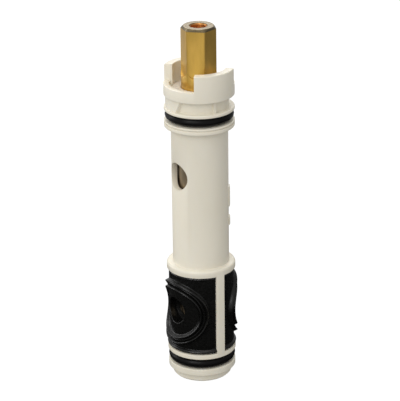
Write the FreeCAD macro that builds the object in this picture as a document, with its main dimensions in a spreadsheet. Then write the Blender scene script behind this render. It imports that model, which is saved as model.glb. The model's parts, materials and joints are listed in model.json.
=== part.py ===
import FreeCAD, Part
import math
import os
import re
import Sketcher

# Pull-and-turn diverter valve cartridge. Millimetres, +Z up along the cartridge's axis, origin at
# the centre of its bottom end. The ports face -X and +X, the shell's pillars stand at -Y and +Y.
# Angles are in degrees: a "turn" is counted from +X, counter-clockwise seen from above.
# The stem is modelled pulled up, with the spool's port between the two outlets.

DIMENSIONS = {
    # shell, outside, from the bottom up
    "foot_radius": 9.45, "foot_chamfer": 0.6, "foot_top": 2.7,
    "foot_flange_radius": 10.85, "foot_flange_top": 4.9,
    "foot_groove_radius": 7.7, "foot_groove_top": 8.6,
    "body_radius": 11.0, "window_bottom": 10.2, "window_top": 37.2, "window_angle": 164.5,
    "shoulder_top": 39.35, "shoulder_round": 0.45,
    "tube_radius": 9.0, "tube_top": 85.1,
    "flange_radius": 11.1, "flange_top": 87.2,
    "head_groove_radius": 7.95, "head_groove_top": 90.55, "upper_flange_top": 91.55,
    "recess_radius": 9.3, "recess_top": 95.4,
    "collar_radius": 11.1, "collar_top": 98.9, "collar_inner_radius": 9.3,
    "ear_inner_radius": 8.5, "ear_top": 104.2,
    "notch_turn": 180.0, "notch_angle": 96.0,
    "recess_block_turn": 161.5, "recess_block_angle": 71.0, "recess_block_radius": 10.65,
    "rib_turn": 265.5, "rib_angle": 5.0, "rib_radius": 9.9,
    "mark_turn": 323.0, "mark_angle": 16.0, "mark_radius": 9.45,
    "mark_long_bottom": 58.0, "mark_long_top": 64.7,
    "mark_short_bottom": 51.7, "mark_short_top": 54.4,
    "side_hole_radius": 4.5, "side_hole_height": 69.65,
    # shell, inside
    "bore_radius": 6.84, "bore_chamfer": 0.45,
    "gallery_radius": 7.2, "gallery_bottom": 52.7, "gallery_top": 74.7,
    "keyway_reach": 7.95, "keyway_width": 3.0, "keyway_bottom": 71.05, "keyway_top": 81.9,
    "bush_bore_radius": 7.05, "floor_height": 97.7,
    # gland bush and what holds and seals it
    "bush_bottom": 82.7, "bush_hole_radius": 5.66, "bush_flange_radius": 8.45, "bush_flange_bottom": 96.1,
    "bush_seal_height": 85.2, "bush_seal_wire": 0.5, "bush_seal_groove": 1.3,
    "lock_ring_height": 93.9, "lock_ring_wire": 0.5, "lock_ring_groove": 1.2,
    "washer_hole_radius": 5.75,
    # stem
    "stem_radius": 5.58, "stem_top": 117.3, "stem_chamfer_radius": 4.75, "stem_chamfer_height": 0.9,
    "screw_hole_radius": 2.5, "screw_hole_bottom": 101.7, "screw_tip": 1.2,
    "screw_mouth_radius": 2.95, "screw_mouth_depth": 0.45,
    "hex_turn": 225.4, "hex_across_flats": 9.8, "hex_cutter_radius": 3.0, "hex_bottom": 101.5,
    "stem_seal_low": 92.3, "stem_seal_high": 95.3, "stem_seal_wire": 0.635, "stem_seal_groove": 1.7,
    "stem_seal_floor": 4.35,
    "neck_radius": 4.6, "neck_bottom": 79.1, "neck_top": 81.85, "boss_bottom": 70.7,
    # guide halves in the stem's neck
    "guide_hole_radius": 4.65, "guide_radius": 6.7, "guide_bottom": 79.15, "guide_top": 81.8,
    "guide_half_angle": 179.0, "lug_reach": 7.85, "lug_width": 2.9,
    # spool
    "spool_radius": 6.6, "spool_bore": 5.0, "spool_bottom": 9.0, "spool_top": 78.2,
    "entry_width": 6.0, "entry_bottom": 55.7, "entry_top": 65.7,
    "spool_port_radius": 3.5, "pin_radius": 1.0, "pin_height": 74.5, "pin_reach": 6.45,
    "plug_top": 13.7, "plug_bottom": 9.4, "plug_seal_height": 11.6, "plug_seal_wire": 0.5,
    "plug_seal_groove": 1.3,
    # bearing rings
    "upper_ring_inner": 6.0, "upper_ring_outer": 6.79, "upper_ring_bottom": 45.7, "upper_ring_top": 47.7,
    "foot_ring_inner": 6.66, "foot_ring_outer": 7.4, "foot_ring_bottom": 8.85, "foot_ring_top": 9.95,
    # large O-rings
    "foot_seal_radius": 9.25, "foot_seal_wire": 1.55, "foot_seal_height": 6.6,
    "head_seal_radius": 9.4, "head_seal_wire": 1.45, "head_seal_height": 88.98,
    # seal pads
    "pad_inner_radius": 6.7, "field_radius": 10.25,
    "low_lip_radius": 11.15, "low_lip_top": 12.0, "high_lip_radius": 10.65, "high_lip_bottom": 35.8,
    "port_height": 24.0, "port_radius": 4.3, "port_floor": 6.85, "throat_radius": 2.4,
    "ridge_radius": 11.65, "ridge_height": 23.5, "ridge_root": 2.6, "ridge_width": 0.9,
    "inner_ridge_reach": 8.4, "inner_ridge_rise": 8.6,
    "outer_ridge_reach": 9.9, "outer_ridge_rise": 10.5,
}
FULL_TURN = 360.0
CUT_REACH = 16.0            # beyond the outside of every piece
CLEAR_HEIGHT = 110.0        # above the ears

doc = FreeCAD.newDocument("diverter_valve")
sheet = doc.addObject("Spreadsheet::Sheet", "Dims")
for row, (alias, size) in enumerate(DIMENSIONS.items(), start=1):
    sheet.set(f"A{row}", alias)
    sheet.set(f"B{row}", str(size))
    sheet.setAlias(f"B{row}", alias)
doc.recompute()


def words(expression):
    """Turn plain words such as tube_radius into references to the sheet's cells."""
    return re.sub(r"[a-z_]+", lambda w: f"Dims.{w[0]}" if w[0] in DIMENSIONS else w[0], str(expression))


def number(expression):
    return float(sheet.evalExpression(words(expression)))


def origin_feature(body, role):
    return next(f for f in body.Origin.OriginFeatures if f.Role == role)


def new_body(name):
    body = doc.addObject("PartDesign::Body", name)
    body.Label = name
    return body


def new_sketch(body, name, plane, turn="0", lift="0", out="0"):
    """A sketch on an origin plane, turned about +Z, lifted along +Z or moved out along its normal."""
    sketch = body.newObject("Sketcher::SketchObject", name)
    sketch.AttachmentSupport = (origin_feature(body, plane), [""])
    sketch.MapMode = "FlatFace"
    if plane == "XY_Plane":
        sketch.setExpression(".AttachmentOffset.Base.z", words(lift))
        return sketch
    sketch.AttachmentOffset = FreeCAD.Placement(
        FreeCAD.Vector(), FreeCAD.Rotation(FreeCAD.Vector(0, 1, 0), max(number(turn), 0.001)))
    sketch.setExpression(".AttachmentOffset.Rotation.Angle", words(turn))
    sketch.setExpression(".AttachmentOffset.Base.x", words(f"({out}) * sin({turn})"))
    sketch.setExpression(".AttachmentOffset.Base.z", words(f"({out}) * cos({turn})"))
    return sketch


def pin_point(sketch, curve, end, across, up):
    """Tie a curve's point to its two places, each an expression in the sheet's words."""
    for kind, axis, expression in (("DistanceX", -2, across), ("DistanceY", -1, up)):
        if number(expression) == 0:
            sketch.addConstraint(Sketcher.Constraint("PointOnObject", curve, end, axis))
            continue
        index = sketch.addConstraint(
            Sketcher.Constraint(kind, -1, 1, curve, end, number(expression)))
        sketch.setExpression(f"Constraints[{index}]", words(expression))


def polygon(sketch, corners):
    """A closed outline of straight lines through corners, each (across, up)."""
    points = [FreeCAD.Vector(number(across), number(up), 0) for across, up in corners]
    first = sketch.GeometryCount
    for start, end in zip(points, points[1:] + points[:1]):
        sketch.addGeometry(Part.LineSegment(start, end), False)
    count = len(points)
    for i in range(count):
        after = first + (i + 1) % count
        sketch.addConstraint(Sketcher.Constraint("Coincident", first + i, 2, after, 1))
    for i, (across, up) in enumerate(corners):
        pin_point(sketch, first + i, 1, across, up)


def rectangle(left, right, bottom, top):
    return [(left, bottom), (right, bottom), (right, top), (left, top)]


def circle(sketch, across, up, radius):
    centre = FreeCAD.Vector(number(across), number(up), 0)
    curve = sketch.addGeometry(
        Part.Circle(centre, FreeCAD.Vector(0, 0, 1), number(radius)), False)
    pin_point(sketch, curve, 3, across, up)
    index = sketch.addConstraint(Sketcher.Constraint("Radius", curve, number(radius)))
    sketch.setExpression(f"Constraints[{index}]", words(radius))


def ellipse(sketch, up, reach, rise):
    """An ellipse about the sketch's V axis, its centre at height up."""
    centre = FreeCAD.Vector(0, number(up), 0)
    flat = number(reach) > number(rise)
    side = FreeCAD.Vector(number(reach), 0, 0)
    top = FreeCAD.Vector(0, number(rise), 0)
    curve = sketch.addGeometry(Part.Ellipse(
        centre + (side if flat else top), centre + (top if flat else side), centre), False)
    sketch.exposeInternalGeometry(curve)
    for axis, size in zip((curve + 1, curve + 2), (reach, rise) if flat else (rise, reach)):
        index = sketch.addConstraint(Sketcher.Constraint("Distance", axis, 2 * number(size)))
        sketch.setExpression(f"Constraints[{index}]", words(f"2 * ({size})"))
    sketch.addConstraint(Sketcher.Constraint("Horizontal" if flat else "Vertical", curve + 1))
    pin_point(sketch, curve, 3, "0", up)


def turned(body, name, corners, angle=None, turn="0", cut=False):
    """Turn an outline of (radius, height) corners about the axis, all round or by a bound angle."""
    sketch = new_sketch(body, f"{name}_outline", "XZ_Plane", turn=turn)
    polygon(sketch, corners)
    kind = "PartDesign::Groove" if cut else "PartDesign::Revolution"
    feature = body.newObject(kind, name)
    feature.Profile = sketch
    feature.ReferenceAxis = (sketch, ["V_Axis"])
    feature.Angle = FULL_TURN
    if angle:
        feature.Midplane = True
        feature.setExpression("Angle", words(angle))
    return feature


def extruded(body, name, sketch, length, reverse=False, both=False, add=False):
    feature = body.newObject("PartDesign::Pad" if add else "PartDesign::Pocket", name)
    feature.Profile = sketch
    feature.Reversed = reverse
    if both:
        feature.SideType = "Symmetric"
    feature.Length = 1
    feature.setExpression("Length", words(length))
    return feature


def repeated(body, name, feature, count):
    pattern = body.newObject("PartDesign::PolarPattern", name)
    pattern.Originals = [feature]
    pattern.Axis = (origin_feature(body, "Z_Axis"), [""])
    pattern.Angle = FULL_TURN
    pattern.Occurrences = count
    body.Tip = pattern
    return pattern


def solid_of_turning(name, corners):
    body = new_body(name)
    turned(body, f"{name}_turning", corners)
    return body


def ring(name, inner, outer, bottom, top):
    """A plain ring of rectangular section."""
    return solid_of_turning(name, rectangle(inner, outer, bottom, top))


def o_ring(name, radius, wire, height):
    torus = doc.addObject("Part::Torus", name)
    torus.Label = name
    torus.setExpression("Radius1", words(radius))
    torus.setExpression("Radius2", words(wire))
    torus.setExpression(".Placement.Base.z", words(height))
    return torus


def square_groove(radius, floor, height, width):
    """The corners of a groove in a turned outline, from its lower lip to its upper lip."""
    low, high = f"{height} - {width} / 2", f"{height} + {width} / 2"
    return [(radius, low), (floor, low), (floor, high), (radius, high)]


def shell():
    body = new_body("shell")
    outside = [
        ("foot_radius - foot_chamfer", "0"), ("foot_radius", "foot_chamfer"), ("foot_radius", "foot_top"),
        ("foot_flange_radius", "foot_top"), ("foot_flange_radius", "foot_flange_top"),
        ("foot_groove_radius", "foot_flange_top"), ("foot_groove_radius", "foot_groove_top"),
        ("body_radius", "foot_groove_top"), ("body_radius", "shoulder_top - shoulder_round"),
        ("body_radius - shoulder_round", "shoulder_top"), ("tube_radius", "shoulder_top"),
        ("tube_radius", "tube_top"), ("flange_radius", "tube_top"), ("flange_radius", "flange_top"),
        ("head_groove_radius", "flange_top"), ("head_groove_radius", "head_groove_top"),
        ("flange_radius", "head_groove_top"), ("flange_radius", "upper_flange_top"),
        ("recess_radius", "upper_flange_top"), ("recess_radius", "recess_top"),
        ("collar_radius", "recess_top"), ("collar_radius", "ear_top"), ("ear_inner_radius", "ear_top"),
    ]
    lock_groove = square_groove("bush_bore_radius", "bush_bore_radius + lock_ring_wire + 0.05",
                                "lock_ring_height", "lock_ring_groove")
    inside = [
        ("ear_inner_radius", "bush_flange_bottom"), ("bush_bore_radius", "bush_flange_bottom"),
        *reversed(lock_groove),
        ("bush_bore_radius", "keyway_top"), ("bore_radius", "keyway_top"),
        ("bore_radius", "gallery_top"), ("gallery_radius", "gallery_top"),
        ("gallery_radius", "gallery_bottom"), ("bore_radius", "gallery_bottom"),
        ("bore_radius", "foot_ring_top"), ("foot_ring_outer", "foot_ring_top"),
        ("foot_ring_outer", "foot_ring_bottom"), ("bore_radius", "foot_ring_bottom"),
        ("bore_radius", "bore_chamfer"), ("bore_radius + bore_chamfer", "0"),
    ]
    turned(body, "shell_turning", outside + inside)

    window = turned(body, "window", rectangle("bore_radius - 1", str(CUT_REACH), "window_bottom", "window_top"),
                    angle="window_angle", cut=True)
    repeated(body, "windows", window, 2)

    notch_corners = [
        ("ear_inner_radius - 1", "floor_height"), ("collar_inner_radius", "floor_height"),
        ("collar_inner_radius", "collar_top"), (str(CUT_REACH), "collar_top"),
        (str(CUT_REACH), str(CLEAR_HEIGHT)), ("ear_inner_radius - 1", str(CLEAR_HEIGHT)),
    ]
    notch = turned(body, "notch", notch_corners, angle="notch_angle", turn="notch_turn", cut=True)
    repeated(body, "notches", notch, 2)

    raised = [
        ("recess_block", "recess_radius", "upper_flange_top", "recess_top"),
        ("rib", "recess_radius", "upper_flange_top", "recess_top"),
    ]
    for name, floor, bottom, top in raised:
        turned(body, name, rectangle(f"{floor} - 0.5", f"{name}_radius", bottom, top),
               angle=f"{name}_angle", turn=f"{name}_turn")
    for name in ("mark_long", "mark_short"):
        turned(body, name, rectangle("tube_radius - 0.5", "mark_radius", f"{name}_bottom", f"{name}_top"),
               angle="mark_angle", turn="mark_turn")

    hole = new_sketch(body, "side_hole_circle", "YZ_Plane")
    circle(hole, "0", "side_hole_height", "side_hole_radius")
    extruded(body, "side_hole", hole, "flange_radius")

    keyway = new_sketch(body, "keyway_outline", "XY_Plane", lift="keyway_bottom")
    polygon(keyway, rectangle("0 - keyway_width / 2", "keyway_width / 2",
                              "0 - keyway_reach", "keyway_reach"))
    extruded(body, "keyways", keyway, "keyway_top - keyway_bottom", reverse=True)
    return body


def gland_bush():
    seal_groove = square_groove("bush_bore_radius", "bush_bore_radius - 2 * bush_seal_wire",
                                "bush_seal_height", "bush_seal_groove")
    lock_groove = square_groove("bush_bore_radius", "bush_bore_radius - lock_ring_wire - 0.05",
                                "lock_ring_height", "lock_ring_groove")
    return solid_of_turning("gland_bush", [
        ("bush_hole_radius", "bush_bottom"), ("bush_bore_radius", "bush_bottom"),
        *seal_groove, *lock_groove,
        ("bush_bore_radius", "bush_flange_bottom"), ("bush_flange_radius", "bush_flange_bottom"),
        ("bush_flange_radius", "floor_height"), ("bush_hole_radius", "floor_height"),
    ])


def stem():
    body = new_body("stem")
    grooves = [corner for height in ("stem_seal_low", "stem_seal_high")
               for corner in square_groove("stem_radius", "stem_seal_floor", height, "stem_seal_groove")]
    turned(body, "stem_turning", [
        ("0", "boss_bottom"), ("spool_bore", "boss_bottom"), ("spool_bore", "spool_top"),
        ("spool_radius", "spool_top"), ("spool_radius", "neck_bottom"), ("neck_radius", "neck_bottom"),
        ("neck_radius", "neck_top"), ("stem_radius", "neck_top"), *grooves,
        ("stem_radius", "stem_top - stem_chamfer_height"), ("stem_chamfer_radius", "stem_top"),
        ("screw_mouth_radius", "stem_top"), ("screw_hole_radius", "stem_top - screw_mouth_depth"),
        ("screw_hole_radius", "screw_hole_bottom"), ("0", "screw_hole_bottom - screw_tip"),
    ])
    flat = new_sketch(body, "flat_outline", "XZ_Plane", turn="hex_turn + 90", out="hex_across_flats / 2")
    slot(flat, "hex_cutter_radius", "hex_bottom", str(CLEAR_HEIGHT + CUT_REACH))
    cut = extruded(body, "flat", flat, "stem_radius", reverse=True)
    repeated(body, "flats", cut, 6)
    pin_hole(body)
    return body


def slot(sketch, radius, bottom, top):
    """An upright slot about the V axis with a round bottom, the path of a milling cutter."""
    width, low, high = number(radius), number(f"{bottom} + {radius}"), number(top)
    corners = [FreeCAD.Vector(-width, low, 0), FreeCAD.Vector(-width, high, 0),
               FreeCAD.Vector(width, high, 0), FreeCAD.Vector(width, low, 0)]
    left, across, right = [
        sketch.addGeometry(Part.LineSegment(start, end), False) for start, end in zip(corners, corners[1:])]
    circle_path = Part.Circle(FreeCAD.Vector(0, low, 0), FreeCAD.Vector(0, 0, 1), width)
    arc = sketch.addGeometry(Part.ArcOfCircle(circle_path, math.pi, 2 * math.pi), False)
    for constraint in (
        ("Coincident", left, 2, across, 1), ("Coincident", across, 2, right, 1),
        ("Tangent", arc, 1, left, 1), ("Tangent", arc, 2, right, 2),
        ("Vertical", left), ("Vertical", right),
    ):
        sketch.addConstraint(Sketcher.Constraint(*constraint))
    pin_point(sketch, left, 2, f"0 - {radius}", top)
    pin_point(sketch, right, 1, radius, top)
    index = sketch.addConstraint(Sketcher.Constraint("DistanceY", -1, 1, arc, 3, low))
    sketch.setExpression(f"Constraints[{index}]", words(f"{bottom} + {radius}"))


def pin_hole(body):
    hole = new_sketch(body, "pin_hole_circle", "XZ_Plane")
    circle(hole, "0", "pin_height", "pin_radius")
    extruded(body, "pin_hole", hole, "2 * flange_radius", both=True)


def spool():
    body = new_body("spool")
    turned(body, "spool_turning", [
        ("spool_bore", "spool_bottom"), ("spool_radius", "spool_bottom"),
        ("spool_radius", "upper_ring_bottom"), ("upper_ring_inner", "upper_ring_bottom"),
        ("upper_ring_inner", "upper_ring_top"), ("spool_radius", "upper_ring_top"),
        ("spool_radius", "spool_top"), ("spool_bore", "spool_top"),
    ])
    entry = new_sketch(body, "entry_outline", "XZ_Plane")
    polygon(entry, rectangle("0 - entry_width / 2", "entry_width / 2", "entry_bottom", "entry_top"))
    extruded(body, "entries", entry, "2 * flange_radius", both=True)
    port = new_sketch(body, "spool_port_circle", "XZ_Plane")
    circle(port, "0", "port_height", "spool_port_radius")
    extruded(body, "spool_port", port, "flange_radius", reverse=True)
    pin_hole(body)
    return body


def spool_plug():
    groove = square_groove("spool_bore", "spool_bore - 2 * plug_seal_wire",
                           "plug_seal_height", "plug_seal_groove")
    return solid_of_turning("spool_plug", [
        ("0", "plug_bottom"), ("spool_bore", "plug_bottom"), *groove,
        ("spool_bore", "plug_top"), ("0", "plug_top"),
    ])


def spool_pin():
    pin = doc.addObject("Part::Cylinder", "spool_pin")
    pin.Label = "spool_pin"
    pin.setExpression("Radius", words("pin_radius"))
    pin.setExpression("Height", words("2 * pin_reach"))
    pin.Placement = FreeCAD.Placement(
        FreeCAD.Vector(), FreeCAD.Rotation(FreeCAD.Vector(1, 0, 0), -90))
    pin.setExpression(".Placement.Base.y", words("0 - pin_reach"))
    pin.setExpression(".Placement.Base.z", words("pin_height"))
    return pin


def guide_half(name, turn):
    """Half of the split ring: the lug that runs in a keyway stands out at its middle."""
    body = new_body(name)
    turned(body, f"{name}_turning",
           rectangle("guide_hole_radius", "guide_radius", "guide_bottom", "guide_top"),
           angle="guide_half_angle")
    lug = new_sketch(body, f"{name}_lug_outline", "XY_Plane", lift="guide_bottom")
    polygon(lug, rectangle("guide_hole_radius + 0.5", "lug_reach", "0 - lug_width / 2", "lug_width / 2"))
    extruded(body, f"{name}_lug", lug, "guide_top - guide_bottom", add=True)
    body.Placement = FreeCAD.Placement(
        FreeCAD.Vector(), FreeCAD.Rotation(FreeCAD.Vector(0, 0, 1), turn))
    return body


def seal_pad(name, turn):
    """A rubber pad that fills a window. The ring ridges round its port press on the valve body's
    bore, and a narrower throat behind the port wipes the spool."""
    body = new_body(name)
    turned(body, f"{name}_wall", [
        ("pad_inner_radius", "window_bottom"), ("low_lip_radius", "window_bottom"),
        ("low_lip_radius", "low_lip_top"), ("field_radius", "low_lip_top"),
        ("field_radius", "high_lip_bottom"), ("high_lip_radius", "high_lip_bottom"),
        ("high_lip_radius", "window_top"), ("pad_inner_radius", "window_top"),
    ], angle="window_angle")
    for ridge in ("inner_ridge", "outer_ridge"):
        outline = new_sketch(body, f"{name}_{ridge}_outline", "YZ_Plane", out="ridge_root")
        ellipse(outline, "ridge_height", f"{ridge}_reach", f"{ridge}_rise")
        ellipse(outline, "ridge_height", f"{ridge}_reach - ridge_width", f"{ridge}_rise - ridge_width")
        extruded(body, f"{name}_{ridge}", outline, str(CUT_REACH), add=True)
    turned(body, f"{name}_crest",
           rectangle("ridge_radius", f"2 * {CUT_REACH}", "0", str(CLEAR_HEIGHT)), cut=True)
    turned(body, f"{name}_bore",
           rectangle("0", "pad_inner_radius", "0", str(CLEAR_HEIGHT)), cut=True)
    for hole, start, radius in (("port", "port_floor", "port_radius"), ("throat", "0", "throat_radius")):
        outline = new_sketch(body, f"{name}_{hole}_circle", "YZ_Plane", out=start)
        circle(outline, "0", "port_height", radius)
        extruded(body, f"{name}_{hole}", outline, str(CUT_REACH), reverse=True)
    body.Placement = FreeCAD.Placement(
        FreeCAD.Vector(), FreeCAD.Rotation(FreeCAD.Vector(0, 0, 1), turn))
    return body


subparts = [
    shell(),
    gland_bush(),
    o_ring("bush_o_ring", "bush_bore_radius - bush_seal_wire", "bush_seal_wire", "bush_seal_height"),
    o_ring("bush_lock_ring", "bush_bore_radius", "lock_ring_wire", "lock_ring_height"),
    ring("thrust_washer", "washer_hole_radius", "bush_bore_radius", "keyway_top", "bush_bottom"),
    o_ring("head_o_ring", "head_seal_radius", "head_seal_wire", "head_seal_height"),
    o_ring("foot_o_ring", "foot_seal_radius", "foot_seal_wire", "foot_seal_height"),
    seal_pad("seal_pad_right", 0),
    seal_pad("seal_pad_left", 180),
    ring("foot_bearing_ring", "foot_ring_inner", "foot_ring_outer", "foot_ring_bottom", "foot_ring_top"),
    guide_half("guide_half_front", -90),
    guide_half("guide_half_rear", 90),
    stem(),
    o_ring("stem_o_ring_upper", "stem_seal_floor + stem_seal_wire", "stem_seal_wire", "stem_seal_high"),
    o_ring("stem_o_ring_lower", "stem_seal_floor + stem_seal_wire", "stem_seal_wire", "stem_seal_low"),
    spool(),
    spool_pin(),
    spool_plug(),
    o_ring("spool_plug_o_ring", "spool_bore - plug_seal_wire", "plug_seal_wire", "plug_seal_height"),
    ring("spool_bearing_ring", "upper_ring_inner", "upper_ring_outer", "upper_ring_bottom", "upper_ring_top"),
]
doc.recompute()

for item in doc.Objects:
    if "Invalid" in item.State or "Error" in item.State:
        raise RuntimeError(f"{item.Label} failed: {item.State}")
os.makedirs("parts", exist_ok=True)
for subpart in subparts:
    shape = subpart.Shape
    if shape.isNull() or not shape.isValid() or len(shape.Solids) != 1:
        raise RuntimeError(f"{subpart.Label} has no single valid solid")
    shape.exportStep(f"parts/{subpart.Label}.step")
    box = shape.BoundBox
    print(f"{subpart.Label}: {shape.Volume:.1f} mm3, z {box.ZMin:.2f} to {box.ZMax:.2f}, "
          f"x {box.XMin:.2f} to {box.XMax:.2f}")
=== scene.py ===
import json
import math

import bmesh
import bpy
import numpy as np
from mathutils import Matrix, Vector


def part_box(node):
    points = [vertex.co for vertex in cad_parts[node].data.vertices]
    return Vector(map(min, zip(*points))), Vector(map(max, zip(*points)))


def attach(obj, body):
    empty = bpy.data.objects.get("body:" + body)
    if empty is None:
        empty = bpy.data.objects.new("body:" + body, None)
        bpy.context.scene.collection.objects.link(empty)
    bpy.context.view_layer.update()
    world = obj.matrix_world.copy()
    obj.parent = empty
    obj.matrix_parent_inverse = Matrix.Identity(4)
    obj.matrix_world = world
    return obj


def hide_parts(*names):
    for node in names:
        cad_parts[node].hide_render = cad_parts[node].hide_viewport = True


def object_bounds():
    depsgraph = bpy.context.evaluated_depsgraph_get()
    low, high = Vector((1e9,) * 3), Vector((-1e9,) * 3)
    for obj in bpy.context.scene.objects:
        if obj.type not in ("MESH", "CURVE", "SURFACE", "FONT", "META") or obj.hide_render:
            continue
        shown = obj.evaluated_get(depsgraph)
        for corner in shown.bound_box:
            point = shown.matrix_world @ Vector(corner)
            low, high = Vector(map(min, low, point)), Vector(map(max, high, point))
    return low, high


# Diverter valve cartridge. Lengths below are in millimetres until a mesh is made, which scales
# them to metres. Heights are above the cartridge's bottom end and radii are from its axis. A turn
# is an angle from +X, counter-clockwise seen from above, in degrees.

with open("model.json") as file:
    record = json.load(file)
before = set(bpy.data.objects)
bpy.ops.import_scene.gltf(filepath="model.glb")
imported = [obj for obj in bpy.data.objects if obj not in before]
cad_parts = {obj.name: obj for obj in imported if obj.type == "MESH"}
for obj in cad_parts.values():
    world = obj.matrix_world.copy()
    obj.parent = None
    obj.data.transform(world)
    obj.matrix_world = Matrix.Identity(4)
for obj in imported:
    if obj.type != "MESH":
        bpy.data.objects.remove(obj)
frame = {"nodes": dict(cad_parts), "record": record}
cad_low, cad_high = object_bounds()

MM = 0.001
PORT = next(m for m in frame["record"]["mounts"] if m["name"] == "outlet_port_right")
PORT_HEIGHT, PORT_RADIUS = PORT["pos_m"][2] / MM, PORT["dims"]["r_mm"]


def span(node, axis):
    """Lowest and highest place of a CAD node along an axis, in millimetres."""
    low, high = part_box(node)
    return low[axis] / MM, high[axis] / MM


# ---------------------------------------------------------------- sizes

# shell, outside, from the foot up
FOOT_RADIUS, FOOT_CHAMFER, FOOT_TOP = 9.45, 0.6, 2.7
FOOT_FLANGE_RADIUS, FOOT_FLANGE_TOP = 10.85, 4.9
FOOT_GROOVE_RADIUS, FOOT_GROOVE_TOP = 7.7, 8.6
BODY_RADIUS, SHOULDER_TOP = 11.0, 39.35
TUBE_RADIUS, TUBE_TOP = 9.0, 85.1
FLANGE_RADIUS, FLANGE_TOP = span("shell", 0)[1], 87.2
RIM_GROOVE_BOTTOM, RIM_GROOVE_TOP, RIM_GROOVE_DEPTH = 86.28, 86.6, 0.3
HEAD_GROOVE_RADIUS, HEAD_GROOVE_TOP = 7.95, 90.55
UPPER_FLANGE_TOP = 91.55
RECESS_RADIUS, RECESS_TOP = 9.3, 95.4
COLLAR_INNER, COLLAR_TOP = 9.3, 98.9
EAR_INNER, EAR_TOP = 8.5, span("shell", 2)[1]

# shell, inside, and the bush that closes it
BUSH_RADIUS, BUSH_FLANGE_BOTTOM = 7.05, 96.1
LOCK_GROOVE_RADIUS, LOCK_GROOVE_BOTTOM, LOCK_GROOVE_TOP = 7.6, 93.3, 94.5
KEYWAY_REACH, KEYWAY_WIDTH, KEYWAY_BOTTOM, KEYWAY_TOP = 7.95, 3.0, 71.05, 81.9
GALLERY_RADIUS, GALLERY_BOTTOM, GALLERY_TOP = 7.2, 52.7, 74.7
BORE_RADIUS, BORE_CHAMFER = 6.84, 0.45
FOOT_RING_RADIUS, FOOT_RING_BOTTOM, FOOT_RING_TOP = 7.4, 8.85, 9.95
FLOOR_HEIGHT = span("gland_bush", 2)[1]

# openings in the shell
WINDOW_BOTTOM, WINDOW_TOP = span("seal_pad_right", 2)
WINDOW_ANGLE = 164.5
NOTCH_ANGLE = 96
SIDE_HOLE_RADIUS, SIDE_HOLE_HEIGHT = 4.5, 69.65

# block and rib in the clip recess, a little let into the flanges, and the marks on the tube
BLOCK_RADIUS, BLOCK_TURN, BLOCK_ANGLE = 10.65, 161.5, 71
BLOCK_BOTTOM, BLOCK_TOP, BLOCK_MIDDLE = 91.1, 95.7, 93.5
RIB_RADIUS, RIB_TURN, RIB_ANGLE = 9.9, 265.5, 5
MARK_RADIUS, MARK_ROOT, MARK_TURN, MARK_ANGLE = 9.45, 8.7, 323, 16
MARKS = (("mark_long", 58.0, 64.7), ("mark_short", 51.7, 54.4))

# stem
STEM_RADIUS, STEM_TOP = 5.58, span("stem", 2)[1]
BOSS_RADIUS, BOSS_BOTTOM = 5.0, 70.7
STEM_COLLAR_RADIUS, STEM_COLLAR_BOTTOM = 6.6, 78.2
NECK_RADIUS, NECK_BOTTOM, NECK_TOP = 4.6, 79.1, 81.85
STEM_SEAL_FLOOR, STEM_SEAL_GROOVE, STEM_SEAL_HEIGHTS = 4.35, 1.7, (92.3, 95.3)
STEM_CHAMFER_RADIUS, STEM_CHAMFER_HEIGHT = 4.75, 0.9
SCREW_HOLE_RADIUS, SCREW_HOLE_BOTTOM, SCREW_TIP = 2.5, 101.7, 1.2
SCREW_MOUTH_RADIUS, SCREW_MOUTH_DEPTH = 2.95, 0.45
HEX_TURN, HEX_ACROSS_FLATS, HEX_BOTTOM, HEX_CUTTER_RADIUS = 225.4, 9.8, 101.5, 3.0
PIN_RADIUS, PIN_HEIGHT = 1.0, 74.5

SOFT_EDGE = 0.18            # radius of moulded plastic edges
CUT = 16.0                  # reach of cutting tools, outside of everything


# ---------------------------------------------------------------- mesh making

def new_object(name, mesh):
    obj = bpy.data.objects.new(name, mesh)
    bpy.context.scene.collection.objects.link(obj)
    return obj


def grid_mesh(name, points, close_rows=True, close_columns=True):
    """A mesh of quads through points[row, column], in millimetres."""
    rows, columns = points.shape[:2]
    mesh = bpy.data.meshes.new(name)
    row_count = rows if close_rows else rows - 1
    column_count = columns if close_columns else columns - 1
    i, j = np.meshgrid(np.arange(row_count), np.arange(column_count), indexing="ij")
    near, far = (i % rows) * columns, ((i + 1) % rows) * columns
    left, right = j % columns, (j + 1) % columns
    quads = np.stack([near + left, near + right, far + right, far + left], axis=-1).reshape(-1, 4)
    mesh.from_pydata((points.reshape(-1, 3) * MM).tolist(), [], quads.tolist())
    mesh.validate()
    return mesh


def face_outwards(mesh):
    work = bmesh.new()
    work.from_mesh(mesh)
    bmesh.ops.recalc_face_normals(work, faces=work.faces)
    work.to_mesh(mesh)
    work.free()
    return mesh


def smooth(obj, angle=32):
    """Shades smooth, apart from edges sharper than the angle."""
    obj.data.shade_smooth()
    obj.data.set_sharp_from_angle(angle=math.radians(angle))
    return obj


def rounded(corners, radius=SOFT_EDGE, steps=4):
    """An outline whose corners (radius, height[, rounding]) are turned into arcs."""
    outline = []
    count = len(corners)
    for k, corner in enumerate(corners):
        here = Vector(corner[:2])
        before = Vector(corners[k - 1][:2]) - here
        after = Vector(corners[(k + 1) % count][:2]) - here
        bend = corner[2] if len(corner) > 2 else radius
        half = before.angle(after) / 2
        reach = min(bend / math.tan(half), 0.45 * before.length, 0.45 * after.length) if bend else 0
        if reach < 0.01:
            outline.append(here)
            continue
        start, end = here + before.normalized() * reach, here + after.normalized() * reach
        centre = here + (before.normalized() + after.normalized()).normalized() * reach / math.cos(half)
        for step in range(steps + 1):
            blend = start.lerp(end, step / steps) - centre
            outline.append(centre + blend.normalized() * (start - centre).length)
    return outline


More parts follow.
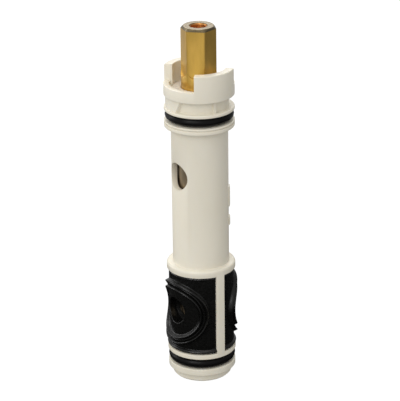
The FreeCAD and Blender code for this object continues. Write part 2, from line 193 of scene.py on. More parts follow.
def lathe(name, outline, segments=240, sweep=360.0, turn=0.0):
    """Turns a closed outline about the axis: all round, or through a sweep centred on a turn.
    The segments are counted for a full turn."""
    full = sweep >= 360
    steps = segments if full else max(3, round(segments * sweep / 360))
    angles = np.radians(turn - sweep / 2 + sweep * np.arange(steps + (0 if full else 1)) / steps)
    radii = np.array([p[0] for p in outline])
    heights = np.array([p[1] for p in outline])
    points = np.empty((len(angles), len(outline), 3))
    points[..., 0] = np.cos(angles)[:, None] * radii
    points[..., 1] = np.sin(angles)[:, None] * radii
    points[..., 2] = heights
    mesh = grid_mesh(name, points, close_rows=full)
    work = bmesh.new()
    work.from_mesh(mesh)
    if not full:
        work.verts.ensure_lookup_table()
        last = (len(angles) - 1) * len(outline)
        work.faces.new([work.verts[k] for k in range(len(outline))])
        work.faces.new([work.verts[last + k] for k in range(len(outline))])
    bmesh.ops.remove_doubles(work, verts=work.verts, dist=1e-4 * MM)
    bmesh.ops.dissolve_degenerate(work, dist=1e-5 * MM, edges=work.edges)
    bmesh.ops.recalc_face_normals(work, faces=work.faces)
    work.to_mesh(mesh)
    work.free()
    return new_object(name, mesh)


def circle(radius, count):
    """The corners of a round outline."""
    return [(radius * math.cos(a), radius * math.sin(a)) for a in np.linspace(0, 2 * math.pi, count + 1)[:-1]]


def prism(name, outline, place, depth):
    """A straight bar: a flat outline of (across, up), put in place by a matrix, depth long."""
    work = bmesh.new()
    near = [work.verts.new(Vector((x, y, 0))) for x, y in outline]
    far = [work.verts.new(Vector((x, y, depth))) for x, y in outline]
    work.faces.new(near)
    work.faces.new(far)
    for k in range(len(outline)):
        after = (k + 1) % len(outline)
        work.faces.new([near[k], near[after], far[after], far[k]])
    bmesh.ops.recalc_face_normals(work, faces=work.faces)
    bmesh.ops.transform(work, matrix=Matrix.Scale(MM, 4) @ place, verts=work.verts)
    mesh = bpy.data.meshes.new(name)
    work.to_mesh(mesh)
    work.free()
    return new_object(name, mesh)


def apply_modifiers(obj):
    graph = bpy.context.evaluated_depsgraph_get()
    mesh = bpy.data.meshes.new_from_object(obj.evaluated_get(graph))
    obj.modifiers.clear()
    obj.data = mesh


def combine(obj, tools, operation):
    """Cuts the tools out of obj, or joins them to it, and removes them."""
    for tool in tools:
        modifier = obj.modifiers.new("combine", "BOOLEAN")
        modifier.object, modifier.operation, modifier.solver = tool, operation, "EXACT"
    apply_modifiers(obj)
    for tool in tools:
        bpy.data.objects.remove(tool)


def soften(obj, width, angle=38):
    """Rounds the sharp edges that cutting has left."""
    work = bmesh.new()
    work.from_mesh(obj.data)
    bmesh.ops.remove_doubles(work, verts=work.verts, dist=0.01 * MM)
    work.to_mesh(obj.data)
    work.free()
    bevel = obj.modifiers.new("soften", "BEVEL")
    bevel.width, bevel.segments, bevel.limit_method = width * MM, 2, "ANGLE"
    bevel.angle_limit = math.radians(angle)
    bevel.use_clamp_overlap = True
    apply_modifiers(obj)


# ---------------------------------------------------------------- materials

def socket_value(node, **values):
    for name, value in values.items():
        node.inputs[name.replace("_", " ")].default_value = value


class Surface:
    """A procedural material: a base colour that drifts a little, with its own roughness and relief."""

    def __init__(self, name, roughness, metallic=0.0):
        self.material = bpy.data.materials.new(name)
        self.material.use_nodes = True
        self.nodes = self.material.node_tree.nodes
        self.links = self.material.node_tree.links
        self.shader = self.nodes["Principled BSDF"]
        self.shader.inputs["Roughness"].default_value = roughness
        self.shader.inputs["Metallic"].default_value = metallic
        self.place = self.nodes.new("ShaderNodeTexCoord").outputs["Object"]
        self.relief = None

    def noise(self, scale, stretch=(1, 1, 1), detail=3.0):
        """Noise whose scale is its features per millimetre."""
        mapping = self.nodes.new("ShaderNodeMapping")
        mapping.inputs["Scale"].default_value = [s / MM for s in stretch]
        self.links.new(self.place, mapping.inputs["Vector"])
        node = self.nodes.new("ShaderNodeTexNoise")
        socket_value(node, Scale=scale, Detail=detail)
        self.links.new(mapping.outputs["Vector"], node.inputs["Vector"])
        return node.outputs["Fac"]

    def ramp(self, source, low, high, values):
        """Spreads a source between low and high over two or more values or colours."""
        node = self.nodes.new("ShaderNodeValToRGB")
        elements = node.color_ramp.elements
        while len(elements) < len(values):
            elements.new(0.5)
        for k, value in enumerate(values):
            colour = value if isinstance(value, tuple) else (value,) * 3
            elements[k].position = low + (high - low) * k / (len(values) - 1)
            elements[k].color = (*colour, 1)
        self.links.new(source, node.inputs["Fac"])
        return node.outputs["Color"]

    def colour(self, source, *colours, low=0.3, high=0.7):
        self.links.new(self.ramp(source, low, high, colours), self.shader.inputs["Base Color"])

    def height(self):
        """The height in millimetres above the piece's origin."""
        split = self.nodes.new("ShaderNodeSeparateXYZ")
        self.links.new(self.place, split.inputs[0])
        return self.scaled(split.outputs["Z"])

    def radius(self):
        """The distance from the axis in millimetres."""
        flat = self.nodes.new("ShaderNodeVectorMath")
        flat.operation = "MULTIPLY"
        flat.inputs[1].default_value = (1, 1, 0)
        length = self.nodes.new("ShaderNodeVectorMath")
        length.operation = "LENGTH"
        self.links.new(self.place, flat.inputs[0])
        self.links.new(flat.outputs["Vector"], length.inputs[0])
        return self.scaled(length.outputs["Value"])

    def scaled(self, metres):
        node = self.nodes.new("ShaderNodeMath")
        node.operation = "MULTIPLY"
        node.inputs[1].default_value = 1 / MM
        self.links.new(metres, node.inputs[0])
        return node.outputs[0]

    def between(self, source, start, end):
        """0 at start and before it, 1 at end and past it."""
        node = self.nodes.new("ShaderNodeMapRange")
        socket_value(node, From_Min=start, From_Max=end)
        self.links.new(source, node.inputs["Value"])
        return node.outputs["Result"]

    def mix(self, amount, under, over):
        """The colour under, with the plain colour over laid on it by amount."""
        factor, first, second, result = 0, 6, 7, 2      # the Mix node's sockets for colours
        node = self.nodes.new("ShaderNodeMix")
        node.data_type = "RGBA"
        node.inputs[second].default_value = (*over, 1)
        self.links.new(amount, node.inputs[factor])
        self.links.new(under, node.inputs[first])
        return node.outputs[result]

    def rough(self, source, least, most):
        self.links.new(self.ramp(source, 0.3, 0.7, (least, most)), self.shader.inputs["Roughness"])

    def bump(self, source, depth):
        """Relief of the given depth in millimetres, laid over the relief before it."""
        node = self.nodes.new("ShaderNodeBump")
        node.inputs["Strength"].default_value = 1.0
        node.inputs["Distance"].default_value = depth * MM
        self.links.new(source, node.inputs["Height"])
        if self.relief:
            self.links.new(self.relief, node.inputs["Normal"])
        self.relief = node.outputs["Normal"]
        self.links.new(self.relief, self.shader.inputs["Normal"])


def moulded_plastic(name, light, dark, roughness=0.36):
    surface = Surface(name, roughness)
    socket_value(surface.shader, Subsurface_Weight=0.1, Subsurface_Scale=0.4 * MM, IOR=1.48)
    surface.shader.inputs["Subsurface Radius"].default_value = (1.0, 0.8, 0.55)
    surface.colour(surface.noise(0.09, (1, 1, 0.5)), dark, light)
    surface.rough(surface.noise(0.6, (1, 1, 0.3)), roughness - 0.05, roughness + 0.08)
    surface.bump(surface.noise(5.0, detail=2), 0.004)
    surface.bump(surface.noise(0.5, (1, 1, 0.35)), 0.012)
    return surface.material


def moulded_rubber(name, tone, roughness, gloss, grain):
    """Black rubber; grain is the depth of its finest relief in millimetres."""
    surface = Surface(name, roughness)
    socket_value(surface.shader, IOR=1.5, Specular_IOR_Level=gloss)
    light = tuple(c * 1.5 for c in tone)
    surface.colour(surface.noise(0.35), tone, light)
    surface.rough(surface.noise(1.1), roughness - 0.06, roughness + 0.08)
    surface.bump(surface.noise(9.0, detail=2), grain)
    surface.bump(surface.noise(0.8), 2 * grain)
    return surface.material


def oiled_metal(name, roughness, stretch):
    """Metal under an oil film, and the fine lines of its drawing or turning, long where stretch is small."""
    surface = Surface(name, roughness, metallic=1.0)
    socket_value(surface.shader, Coat_Weight=0.35, Coat_Roughness=0.25, Coat_IOR=1.5)
    return surface, surface.noise(3.2, stretch, detail=4)


def worked_metal(name, light, dark, roughness, stretch, depth):
    surface, lines = oiled_metal(name, roughness, stretch)
    surface.colour(surface.noise(0.3, (1, 1, 0.4)), dark, light)
    surface.rough(lines, roughness - 0.07, roughness + 0.1)
    surface.bump(lines, depth)
    return surface.material


def stem_finish():
    """Brass bar under an oil film, with painted light: its top face is painted a darker, paler tone that
    stands in for the light's reflection there, and the screw hole is painted darker and redder as painted
    shade.
    """
    light, dark = (0.68, 0.42, 0.085), (0.56, 0.345, 0.065)
    painted_top_reflection_tone, hole_painted_shade_tone = (0.2, 0.155, 0.085), (0.62, 0.27, 0.07)
    surface, lines = oiled_metal("stem_brass", 0.36, (1, 1, 0.02))
    colour = surface.ramp(surface.noise(0.3, (1, 1, 0.4)), 0.3, 0.7, (dark, light))
    # painted reflection: from the chamfer up, the top face gets a darker, paler brass that stands in for how
    # the light's reflection looks on it
    painted_top_reflection = surface.between(surface.height(), STEM_TOP - STEM_CHAMFER_HEIGHT - 0.05, STEM_TOP - 0.8)
    # painted shade: inside the screw hole the brass is painted darker and redder
    hole_painted_shade = surface.between(surface.radius(), SCREW_MOUTH_RADIUS - 0.1, 2.7)
    colour = surface.mix(painted_top_reflection, colour, painted_top_reflection_tone)
    colour = surface.mix(hole_painted_shade, colour, hole_painted_shade_tone)
    surface.links.new(colour, surface.shader.inputs["Base Color"])
    surface.rough(lines, 0.3, 0.46)
    surface.bump(lines, 0.004)
    return surface.material


def paint(obj, material):
    obj.data.materials.clear()
    obj.data.materials.append(material)
    return obj


CREAM = moulded_plastic("cream_acetal", (0.79, 0.745, 0.63), (0.755, 0.705, 0.58))
BUSH_CREAM = moulded_plastic("bush_acetal", (0.80, 0.75, 0.66), (0.76, 0.70, 0.60), roughness=0.3)
WHITE = moulded_plastic("bearing_white", (0.82, 0.82, 0.80), (0.78, 0.78, 0.75), roughness=0.42)
PAD_RUBBER = moulded_rubber("pad_rubber", (0.0022, 0.0021, 0.0018), 0.27, 0.42, 0.0003)
SEAL_RUBBER = moulded_rubber("seal_rubber", (0.0028, 0.0026, 0.0026), 0.34, 0.14, 0.001)
STEM_BRASS = stem_finish()
SPOOL_BRASS = worked_metal(
    "spool_brass", (0.36, 0.28, 0.18), (0.28, 0.21, 0.125),
    roughness=0.42, stretch=(0.05, 0.05, 1), depth=0.005)
STEEL = worked_metal(
    "bright_steel", (0.62, 0.62, 0.63), (0.5, 0.5, 0.52),
    roughness=0.25, stretch=(1, 1, 0.05), depth=0.003)


# ---------------------------------------------------------------- shell

def shell_outside():
    """The outside from the foot up: (radius, height[, rounding])."""
    rim, rim_floor = FLANGE_RADIUS, FLANGE_RADIUS - RIM_GROOVE_DEPTH
    foot = [
        (FOOT_RADIUS - FOOT_CHAMFER, 0.0), (FOOT_RADIUS, FOOT_CHAMFER), (FOOT_RADIUS, FOOT_TOP, 0.1),
        (FOOT_FLANGE_RADIUS, FOOT_TOP, 0.25), (FOOT_FLANGE_RADIUS, FOOT_FLANGE_TOP, 0.25),
        (FOOT_GROOVE_RADIUS, FOOT_FLANGE_TOP, 0.1), (FOOT_GROOVE_RADIUS, FOOT_GROOVE_TOP, 0.1),
    ]
    body = [
        (BODY_RADIUS, FOOT_GROOVE_TOP, 0.2), (BODY_RADIUS, SHOULDER_TOP, 0.75),
        (TUBE_RADIUS, SHOULDER_TOP, 0.25), (TUBE_RADIUS, TUBE_TOP, 0.2),
    ]
    head = [
        (rim, TUBE_TOP, 0.3), (rim, RIM_GROOVE_BOTTOM, 0.12), (rim_floor, RIM_GROOVE_BOTTOM, 0),
        (rim_floor, RIM_GROOVE_TOP, 0), (rim, RIM_GROOVE_TOP, 0.12), (rim, FLANGE_TOP, 0.22),
        (HEAD_GROOVE_RADIUS, FLANGE_TOP, 0.1), (HEAD_GROOVE_RADIUS, HEAD_GROOVE_TOP, 0.1),
        (rim, HEAD_GROOVE_TOP, 0.25), (rim, UPPER_FLANGE_TOP, 0.3),
        (RECESS_RADIUS, UPPER_FLANGE_TOP, 0.15), (RECESS_RADIUS, RECESS_TOP, 0.15),
        (rim, RECESS_TOP, 0.2), (rim, EAR_TOP, 0.35), (EAR_INNER, EAR_TOP, 0.3),
    ]
    return foot + body + head


def shell_inside():
    """The inside from the ears down."""
    bush_seat = [
        (EAR_INNER, BUSH_FLANGE_BOTTOM), (BUSH_RADIUS, BUSH_FLANGE_BOTTOM), (BUSH_RADIUS, LOCK_GROOVE_TOP),
        (LOCK_GROOVE_RADIUS, LOCK_GROOVE_TOP), (LOCK_GROOVE_RADIUS, LOCK_GROOVE_BOTTOM),
        (BUSH_RADIUS, LOCK_GROOVE_BOTTOM), (BUSH_RADIUS, KEYWAY_TOP),
    ]
    bore = [
        (BORE_RADIUS, KEYWAY_TOP), (BORE_RADIUS, GALLERY_TOP), (GALLERY_RADIUS, GALLERY_TOP),
        (GALLERY_RADIUS, GALLERY_BOTTOM), (BORE_RADIUS, GALLERY_BOTTOM),
        (BORE_RADIUS, FOOT_RING_TOP), (FOOT_RING_RADIUS, FOOT_RING_TOP),
        (FOOT_RING_RADIUS, FOOT_RING_BOTTOM), (BORE_RADIUS, FOOT_RING_BOTTOM),
    ]
    sharp = [(radius, height, 0.0) for radius, height in bush_seat + bore]
    return sharp + [(BORE_RADIUS, BORE_CHAMFER, 0.1), (BORE_RADIUS + BORE_CHAMFER, 0.0, 0.1)]


def box_outline(inner, outer, bottom, top):
    return [(inner, bottom), (outer, bottom), (outer, top), (inner, top)]


def raised(name, inner, outer, bottom, top, rounding, **place):
    """A piece of a ring that stands out of the shell."""
    return lathe(name, rounded(box_outline(inner, outer, bottom, top), rounding), **place)


def lean(obj, height, twist=2.4, flare=3.0):
    """Slants the ends of a piece of a ring: twist in degrees for each mm up, flare for each mm inwards."""
    for vertex in obj.data.vertices:
        flat = Vector((vertex.co.x, vertex.co.y))
        turn = twist * (vertex.co.z / MM - height) + flare * (BLOCK_RADIUS - flat.length / MM)
        flat.rotate(Matrix.Rotation(math.radians(turn), 2))
        vertex.co.x, vertex.co.y = flat
    return obj


def raised_details():
    """The clip recess's block and rib, and the two marks on the tube."""
    block = raised("block", TUBE_RADIUS, BLOCK_RADIUS, BLOCK_BOTTOM, BLOCK_TOP, 0.1,
                   sweep=BLOCK_ANGLE, turn=BLOCK_TURN)
    rib = raised("rib", TUBE_RADIUS, RIB_RADIUS, BLOCK_BOTTOM, BLOCK_TOP, 0.1,
                 sweep=RIB_ANGLE, turn=RIB_TURN, segments=960)
    marks = [
        raised(name, MARK_ROOT, MARK_RADIUS, bottom, top, 0.2, sweep=MARK_ANGLE, turn=MARK_TURN, segments=720)
        for name, bottom, top in MARKS
    ]
    return [lean(block, BLOCK_MIDDLE), rib, *marks]


def shell_cutters():
    """What is cut out: windows, notches between the ears, side hole and keyways."""
    window_inner, notch_inner, above = 5.5, 7.5, 110
    window = box_outline(window_inner, CUT, WINDOW_BOTTOM, WINDOW_TOP)
    notch = [
        (notch_inner, FLOOR_HEIGHT), (COLLAR_INNER, FLOOR_HEIGHT), (COLLAR_INNER, COLLAR_TOP),
        (CUT, COLLAR_TOP), (CUT, above), (notch_inner, above),
    ]
    cutters = [lathe("window", window, sweep=WINDOW_ANGLE, turn=turn) for turn in (0, 180)]
    cutters += [lathe("notch", notch, sweep=NOTCH_ANGLE, turn=turn) for turn in (0, 180)]
    across = Matrix.Translation((-CUT, 0, SIDE_HOLE_HEIGHT)) @ Matrix.Rotation(math.pi / 2, 4, "Y")
    cutters.append(prism("side_hole", circle(SIDE_HOLE_RADIUS, 96), across, CUT - 2))
    key = box_outline(-KEYWAY_WIDTH / 2, KEYWAY_WIDTH / 2, -KEYWAY_REACH, KEYWAY_REACH)
    up = Matrix.Translation((0, 0, KEYWAY_BOTTOM))
    cutters.append(prism("keyways", key, up, KEYWAY_TOP - KEYWAY_BOTTOM))
    return cutters


def shell_piece():
    body = lathe("shell_body", rounded(shell_outside() + shell_inside()))
    combine(body, raised_details(), "UNION")
    combine(body, shell_cutters(), "DIFFERENCE")
    soften(body, 0.14)
    return smooth(body)


# ---------------------------------------------------------------- seal pads

CREST = span("seal_pad_right", 0)[1]
FIELD, VALLEY, DISH, PAD_BORE = 10.22, 10.45, 10.38, 6.7    # radii of the face's levels and its back
UNROLLED = 11.5                                             # radius at which the ridges are laid out flat
RIDGE_HEIGHT, RIDGE_TILT = 23.5, 0.05
INNER_RIDGE, OUTER_RIDGE = (11.0, 8.5), (13.2, 10.4)        # reach and rise of each ellipse
LIPS = (                                                    # height, half width, radius
    (WINDOW_TOP - 0.75, 0.6, 10.65),
    (WINDOW_BOTTOM + 0.85, 1.0, 11.15),
)
GAP = 0.05                                                  # between a pad and its window
EDGE_ROUNDING, CORNER_ROUNDING, MOUTH_ROUNDING = 0.22, 0.3, 0.18
THROAT_RADIUS, PORT_FLOOR, PORT_ROUNDING = 2.4, 6.85, 0.12
PAD_STEPS = 480


def bump_shape(distance, width):
    """A rounded bump: 1 in its middle, 0 from width outwards."""
    t = np.clip(np.abs(distance) / width, 0, 1)
    return (1 - t * t) ** 2


def ramp_shape(value):
    """A smooth step from 0 to 1."""
    t = np.clip(value, 0, 1)
    return t * t * (3 - 2 * t)


def ellipse_distance(across, up, ridge):
    """Signed distance from an elliptical ridge on the flattened face, negative inside it."""
    reach, rise = ridge
    level = (across / reach) ** 2 + (up / rise) ** 2 - 1
    slope = np.hypot(2 * across / reach ** 2, 2 * up / rise ** 2)
    return level / np.maximum(slope, 1e-3)


def rounding_drop(distance, rounding):
    """How far a rounded edge lies below the face, at a distance from it."""
    missing = np.clip(rounding - distance, 0, rounding)
    return rounding - np.sqrt(rounding ** 2 - missing ** 2)


def pad_radius(angle, height):
    """Radius of the pad's face: two ridges with a valley between, a dish inside them and two lips."""
    across = UNROLLED * angle
    up = height - RIDGE_HEIGHT - RIDGE_TILT * across
    outer = ellipse_distance(across, up, OUTER_RIDGE)
    inner = ellipse_distance(across, up, INNER_RIDGE)
    base = FIELD + (VALLEY - FIELD) * ramp_shape(0.5 - outer / 1.2)
    face = base + (CREST - base) * bump_shape(outer, 0.85)
    slope_in = CREST - (CREST - DISH) * ramp_shape(-inner / 0.9)
    slope_out = VALLEY + (CREST - VALLEY) * bump_shape(inner, 0.8)
    face = np.where(inner < 0, slope_in, np.maximum(slope_out, face))
    for place, width, crest in LIPS:
        face = np.maximum(face, FIELD + (crest - FIELD) * bump_shape(height - place, width))
    return face


def pad_outline(directions):
    """The pad's outer edge seen from the port: distance round and height, with small round corners."""
    half = math.radians(WINDOW_ANGLE / 2) * BODY_RADIUS - GAP
    top, bottom = WINDOW_TOP - GAP - PORT_HEIGHT, PORT_HEIGHT - WINDOW_BOTTOM - GAP
    cosine, sine = np.cos(directions), np.sin(directions)
    limit_up = np.where(sine > 0, top, bottom) / np.maximum(np.abs(sine), 1e-9)
    reach = np.minimum(half / np.maximum(np.abs(cosine), 1e-9), limit_up)
    edge = np.stack([cosine * reach, sine * reach], axis=-1)
    for side in (-1, 1):
        for level in (top, -bottom):
            inwards = math.copysign(CORNER_ROUNDING, level)
            centre = np.array([side * (half - CORNER_ROUNDING), level - inwards])
            away = edge - centre
            beyond = (away[:, 0] * side > 0) & (away[:, 1] * level > 0)
            length = np.linalg.norm(away, axis=1, keepdims=True)
            arc = centre + away / np.maximum(length, 1e-9) * CORNER_ROUNDING
            edge = np.where(beyond[:, None], arc, edge)
    return edge


def on_cylinder(place, radius):
    """Points on a cylinder, from (distance round at the body's radius, height above the port)."""
    angle = place[:, 0] / BODY_RADIUS
    return np.stack([radius * np.cos(angle), radius * np.sin(angle), place[:, 1] + PORT_HEIGHT], axis=-1)


def where_it_meets(hole, radius):
    """Where a round hole across the axis meets a cylinder, as places for on_cylinder."""
    return np.stack([np.arcsin(hole[:, 0] / radius) * BODY_RADIUS, hole[:, 1]], axis=-1)


def in_the_port(hole, depth):
    """Points on a hole's wall at a distance from the cartridge's axis."""
    return np.stack([depth, hole[:, 0], hole[:, 1] + PORT_HEIGHT], axis=-1)


def face_rings(mouth, edge):
    """The face, from the port's mouth to the outer edge, closest together at both."""
    near, middle, far = np.linspace(0, 0.03, 6), np.linspace(0.03, 0.98, 120), np.linspace(0.98, 1, 8)
    rings = []
    for t in np.concatenate([near[:-1], middle[:-1], far]):
        place = mouth + (edge - mouth) * t
        radius = pad_radius(place[:, 0] / BODY_RADIUS, place[:, 1] + PORT_HEIGHT)
        radius = radius - rounding_drop(np.linalg.norm(edge - place, axis=1), EDGE_ROUNDING)
        radius = radius - rounding_drop(np.linalg.norm(place - mouth, axis=1), MOUTH_ROUNDING)
        rings.append(on_cylinder(place, radius))
    return rings


def pad_piece(name, turn):
    """A closed pad: face, edge, bore side, throat and port, ring after ring about the port."""
    directions = 2 * math.pi * np.arange(PAD_STEPS) / PAD_STEPS
    round_hole = np.stack([np.cos(directions), np.sin(directions)], axis=-1)
    port, throat = PORT_RADIUS * round_hole, THROAT_RADIUS * round_hole
    edge = pad_outline(directions)
    rings = face_rings(where_it_meets(port, DISH), edge)
    face_edge = np.linalg.norm(rings[-1][:, :2], axis=1)
    for t in np.linspace(0, 1, 6)[1:-1]:
        rings.append(on_cylinder(edge, face_edge + (PAD_BORE - face_edge) * t))
    throat_edge = where_it_meets(throat, PAD_BORE)
    for t in np.linspace(0, 1, 40):
        rings.append(on_cylinder(edge + (throat_edge - edge) * t, PAD_BORE))
    throat_start, mouth_depth = rings[-1][:, 0], rings[0][:, 0]
    for t in (0.5, 1.0):
        rings.append(in_the_port(throat, throat_start + (PORT_FLOOR - throat_start) * t))
    rings.append(in_the_port(port * 0.96, np.full(PAD_STEPS, PORT_FLOOR)))
    rings.append(in_the_port(port, np.full(PAD_STEPS, PORT_FLOOR + PORT_ROUNDING)))
    for t in np.linspace(0.1, 0.95, 8):
        rings.append(in_the_port(port, PORT_FLOOR + (mouth_depth - PORT_FLOOR) * t))
    cosine, sine = math.cos(math.radians(turn)), math.sin(math.radians(turn))
    spin = np.array([[cosine, sine, 0], [-sine, cosine, 0], [0, 0, 1]])
    obj = new_object(name, face_outwards(grid_mesh(name, np.array(rings) @ spin)))
    return smooth(obj, 50)


# ---------------------------------------------------------------- stem

def stem_outline():
    """Half of the stem's section: boss, collar, neck, seal grooves, chamfered end and screw hole."""
    grooves = []
    for middle in STEM_SEAL_HEIGHTS:
        bottom, top = middle - STEM_SEAL_GROOVE / 2, middle + STEM_SEAL_GROOVE / 2
        grooves += [(STEM_RADIUS, bottom, 0.08), (STEM_SEAL_FLOOR, bottom, 0.08),
                    (STEM_SEAL_FLOOR, top, 0.08), (STEM_RADIUS, top, 0.08)]
    return rounded([
        (0.0, BOSS_BOTTOM, 0), (BOSS_RADIUS, BOSS_BOTTOM, 0.2), (BOSS_RADIUS, STEM_COLLAR_BOTTOM, 0),
        (STEM_COLLAR_RADIUS, STEM_COLLAR_BOTTOM, 0.1), (STEM_COLLAR_RADIUS, NECK_BOTTOM, 0.1),
        (NECK_RADIUS, NECK_BOTTOM, 0), (NECK_RADIUS, NECK_TOP, 0), (STEM_RADIUS, NECK_TOP, 0.1),
        *grooves,
        (STEM_RADIUS, STEM_TOP - STEM_CHAMFER_HEIGHT, 0.12), (STEM_CHAMFER_RADIUS, STEM_TOP, 0.12),
        (SCREW_MOUTH_RADIUS, STEM_TOP, 0.08), (SCREW_HOLE_RADIUS, STEM_TOP - SCREW_MOUTH_DEPTH, 0.05),
        (SCREW_HOLE_RADIUS, SCREW_HOLE_BOTTOM, 0), (0.0, SCREW_HOLE_BOTTOM - SCREW_TIP, 0),
    ])


def hexagon_cutters():
    """Six slots with round ends, which leave the flats and the arched shoulder below each."""
    radius, above, depth = HEX_CUTTER_RADIUS, 125, 4
    slot = [(radius * math.cos(a), HEX_BOTTOM + radius + radius * math.sin(a))
            for a in np.linspace(math.pi, 2 * math.pi, 33)]
    slot += [(radius, above), (-radius, above)]
    cutters = []
    for k in range(6):
        turn = math.radians(HEX_TURN + 60 * k)
        out = Vector((math.cos(turn), math.sin(turn), 0))
        side = Vector((-math.sin(turn), math.cos(turn), 0))
        place = Matrix((side, Vector((0, 0, 1)), out)).transposed().to_4x4()
        cutters.append(prism("flat", slot, Matrix.Translation(out * HEX_ACROSS_FLATS / 2) @ place, depth))
    return cutters


def stem_piece():
    body = lathe("stem_bar", stem_outline(), segments=192)
    combine(body, hexagon_cutters(), "DIFFERENCE")
    start, length = 8, 16
    through = Matrix.Translation((0, start, PIN_HEIGHT)) @ Matrix.Rotation(math.pi / 2, 4, "X")
    combine(body, [prism("pin_hole", circle(PIN_RADIUS, 32), through, length)], "DIFFERENCE")
    soften(body, 0.06, angle=25)
    return smooth(body)


# ---------------------------------------------------------------- seals and bush

def o_ring_piece(name, node):
    """A rubber ring with the faint parting line that its mould leaves round the outside."""
    around_steps, section_steps, flash, flash_width = 256, 64, 0.035, 0.05
    low, high = span(node, 2)
    wire, outer = (high - low) / 2, span(node, 0)[1]
    radius, height = outer - wire, (low + high) / 2
    around = 2 * math.pi * np.arange(around_steps) / around_steps
    section = 2 * math.pi * np.arange(section_steps) / section_steps
    from_outside = np.angle(np.exp(1j * section))
    reach = wire - flash + flash * np.exp(-(from_outside / flash_width) ** 2)
    points = np.empty((around_steps, section_steps, 3))
    points[..., 0] = np.cos(around)[:, None] * (radius + reach * np.cos(section))
    points[..., 1] = np.sin(around)[:, None] * (radius + reach * np.cos(section))
    points[..., 2] = height + reach * np.sin(section)
    return smooth(new_object(name, face_outwards(grid_mesh(name, points))), 60)


def bush_piece():
    """The gland bush, with grooves for its own O-ring and for the lock ring."""
    hole, bottom, flange = 5.66, 82.7, span("gland_bush", 0)[1] - 0.04
    seal_floor, seal_bottom, seal_top = 6.05, 84.55, 85.85
    lock_floor = 6.5
    outline = rounded([
        (hole, bottom, 0.2), (BUSH_RADIUS, bottom, 0.2),
        (BUSH_RADIUS, seal_bottom, 0), (seal_floor, seal_bottom, 0),
        (seal_floor, seal_top, 0), (BUSH_RADIUS, seal_top, 0),
        (BUSH_RADIUS, LOCK_GROOVE_BOTTOM, 0), (lock_floor, LOCK_GROOVE_BOTTOM, 0),
        (lock_floor, LOCK_GROOVE_TOP, 0), (BUSH_RADIUS, LOCK_GROOVE_TOP, 0),
        (BUSH_RADIUS, BUSH_FLANGE_BOTTOM, 0), (flange, BUSH_FLANGE_BOTTOM, 0.1),
        (flange, FLOOR_HEIGHT, 0.15), (hole, FLOOR_HEIGHT, 0.25),
    ])
    return smooth(lathe("gland_bush_turned", outline))


# ---------------------------------------------------------------- assembly

def take_place(obj, node, body, material):
    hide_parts(node)
    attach(obj, body)
    paint(obj, material)


take_place(shell_piece(), "shell", "shell", CREAM)
take_place(pad_piece("seal_pad_right_rubber", 0), "seal_pad_right", "shell", PAD_RUBBER)
take_place(pad_piece("seal_pad_left_rubber", 180), "seal_pad_left", "shell", PAD_RUBBER)
take_place(o_ring_piece("head_ring", "head_o_ring"), "head_o_ring", "shell", SEAL_RUBBER)
take_place(o_ring_piece("foot_ring", "foot_o_ring"), "foot_o_ring", "shell", SEAL_RUBBER)
take_place(bush_piece(), "gland_bush", "shell", BUSH_CREAM)
take_place(stem_piece(), "stem", "stem", STEM_BRASS)

# the small inner pieces keep their CAD shape
FINISHES = {
    "seal_rubber": SEAL_RUBBER, "spring_steel": STEEL, "white_plastic": WHITE, "spool_brass": SPOOL_BRASS,
}
slots = {s["node"]: s["material_slot"] for s in frame["record"]["subparts"]}
for node, obj in frame["nodes"].items():
    if slots[node] in FINISHES:
        paint(obj, FINISHES[slots[node]])
        smooth(obj)


# ---------------------------------------------------------------- floor, light and camera

# lengths in metres from here on; an azimuth is 0 in front of -Y and counts towards +X

CAMERA_AZIMUTH, CAMERA_ELEVATION, CAMERA_ROLL = -34, 21.7, -0.69
CAMERA_DISTANCE, CAMERA_LENS, CAMERA_SHIFT = 0.613, 173.4, -0.0009
CAMERA_TARGET = Vector((0, 0, 0.0595))
LIGHT_TARGET = Vector((0, 0, 0.06))
STUDIO = [
    # name, azimuth from the camera, elevation, distance, (width, height), power
    ("rim", -112, 20, 0.8, (0.08, 0.7), 1.15),
    ("key", -38, 34, 0.8, (0.1, 0.6), 1.75),
    ("front", -15, 30, 0.9, (0.12, 0.5), 1.15),
    ("top", -30, 82, 0.8, (0.5, 0.5), 1.1),
    ("fill", 62, 30, 0.9, (0.9, 0.9), 0.4),
    ("back", 180, 38, 0.8, (0.6, 0.35), 2.3),
]
WORLD_LIGHT = 0.54
FLOOR_GLOW, FLOOR_TONE, FLOOR_REACH = 0.97, 0.08, 4.0


def direction(azimuth, elevation):
    a, e = math.radians(azimuth), math.radians(elevation)
    return Vector((math.sin(a) * math.cos(e), -math.cos(a) * math.cos(e), math.sin(e)))


def square(name, half, tone, roughness):
    """A plain grey square about its own origin, and its shader."""
    mesh = bpy.data.meshes.new(name)
    corners = [(-half, -half, 0), (half, -half, 0), (half, half, 0), (-half, half, 0)]
    mesh.from_pydata(corners, [], [(0, 1, 2, 3)])
    material = bpy.data.materials.new(name)
    material.use_nodes = True
    shader = material.node_tree.nodes["Principled BSDF"]
    socket_value(shader, Base_Color=(tone, tone, tone, 1), Roughness=roughness)
    mesh.materials.append(material)
    return new_object(name, mesh), shader


def stage_floor():
    """A pale floor that throws no light or reflection onto the cartridge."""
    floor, shader = square("floor", FLOOR_REACH, FLOOR_TONE, 0.9)
    socket_value(shader, Specular_IOR_Level=0.1, Emission_Color=(1, 1, 1, 1), Emission_Strength=FLOOR_GLOW)
    floor.location.z = cad_low.z - 0.0001
    floor.visible_diffuse = floor.visible_glossy = False


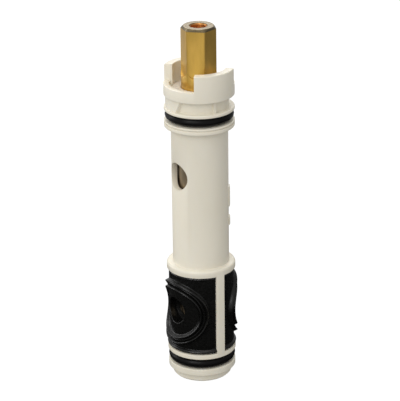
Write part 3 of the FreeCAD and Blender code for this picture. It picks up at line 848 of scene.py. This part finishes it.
def dark_card(name, centre, facing, size, tone):
    """A dark card that only reflections see: it gives the brass and the rubber a dark side."""
    card = square(name, size / 2, tone, 1.0)[0]
    card.location = centre
    card.rotation_euler = facing.to_track_quat("Z", "Y").to_euler()
    card.visible_camera = card.visible_diffuse = card.visible_shadow = card.visible_transmission = False


def stage_cards():
    right = direction(CAMERA_AZIMUTH + 100, 0)
    beside = right * 0.35
    dark_card("side_card", beside + Vector((0, 0, 0.22)), right, 0.6, 0.27)
    dark_card("low_side_card", beside - Vector((0, 0, 0.38)), right, 0.6, 0.02)
    dark_card("table_card", Vector((0, 0, -0.001)), Vector((0, 0, 1)), 0.3, 0.02)


def area_light(name, azimuth, elevation, distance, size, power):
    """A soft box aimed at the cartridge."""
    light = bpy.data.lights.new(name, "AREA")
    light.shape, light.size, light.size_y, light.energy = "RECTANGLE", size[0], size[1], power
    obj = bpy.data.objects.new(name, light)
    obj.location = LIGHT_TARGET + direction(azimuth, elevation) * distance
    obj.rotation_euler = direction(azimuth, elevation).to_track_quat("Z", "Y").to_euler()
    bpy.context.scene.collection.objects.link(obj)
    return obj


def stage_lights():
    for name, azimuth, *rest in STUDIO:
        light = area_light(name, CAMERA_AZIMUTH + azimuth, *rest)
        light.visible_glossy = name != "fill"
    world = bpy.data.worlds.new("studio")
    world.use_nodes = True
    socket_value(world.node_tree.nodes["Background"], Color=(1, 1, 1, 1), Strength=WORLD_LIGHT)
    bpy.context.scene.world = world
    bpy.context.scene.view_settings.view_transform = "Standard"


def set_camera():
    back = direction(CAMERA_AZIMUTH, CAMERA_ELEVATION)
    level = direction(CAMERA_AZIMUTH + 90, 0)
    upright = back.cross(level)
    angle = math.radians(CAMERA_ROLL)
    right = level * math.cos(angle) + upright * math.sin(angle)
    up = upright * math.cos(angle) - level * math.sin(angle)
    data = bpy.data.cameras.new("camera")
    data.lens, data.sensor_width, data.shift_x = CAMERA_LENS, 36, CAMERA_SHIFT
    camera = bpy.data.objects.new("camera", data)
    place = Matrix.Translation(CAMERA_TARGET + back * CAMERA_DISTANCE)
    camera.matrix_world = place @ Matrix((right, up, back)).transposed().to_4x4()
    bpy.context.scene.collection.objects.link(camera)
    bpy.context.scene.camera = camera


stage_floor()
stage_cards()
stage_lights()
set_camera()
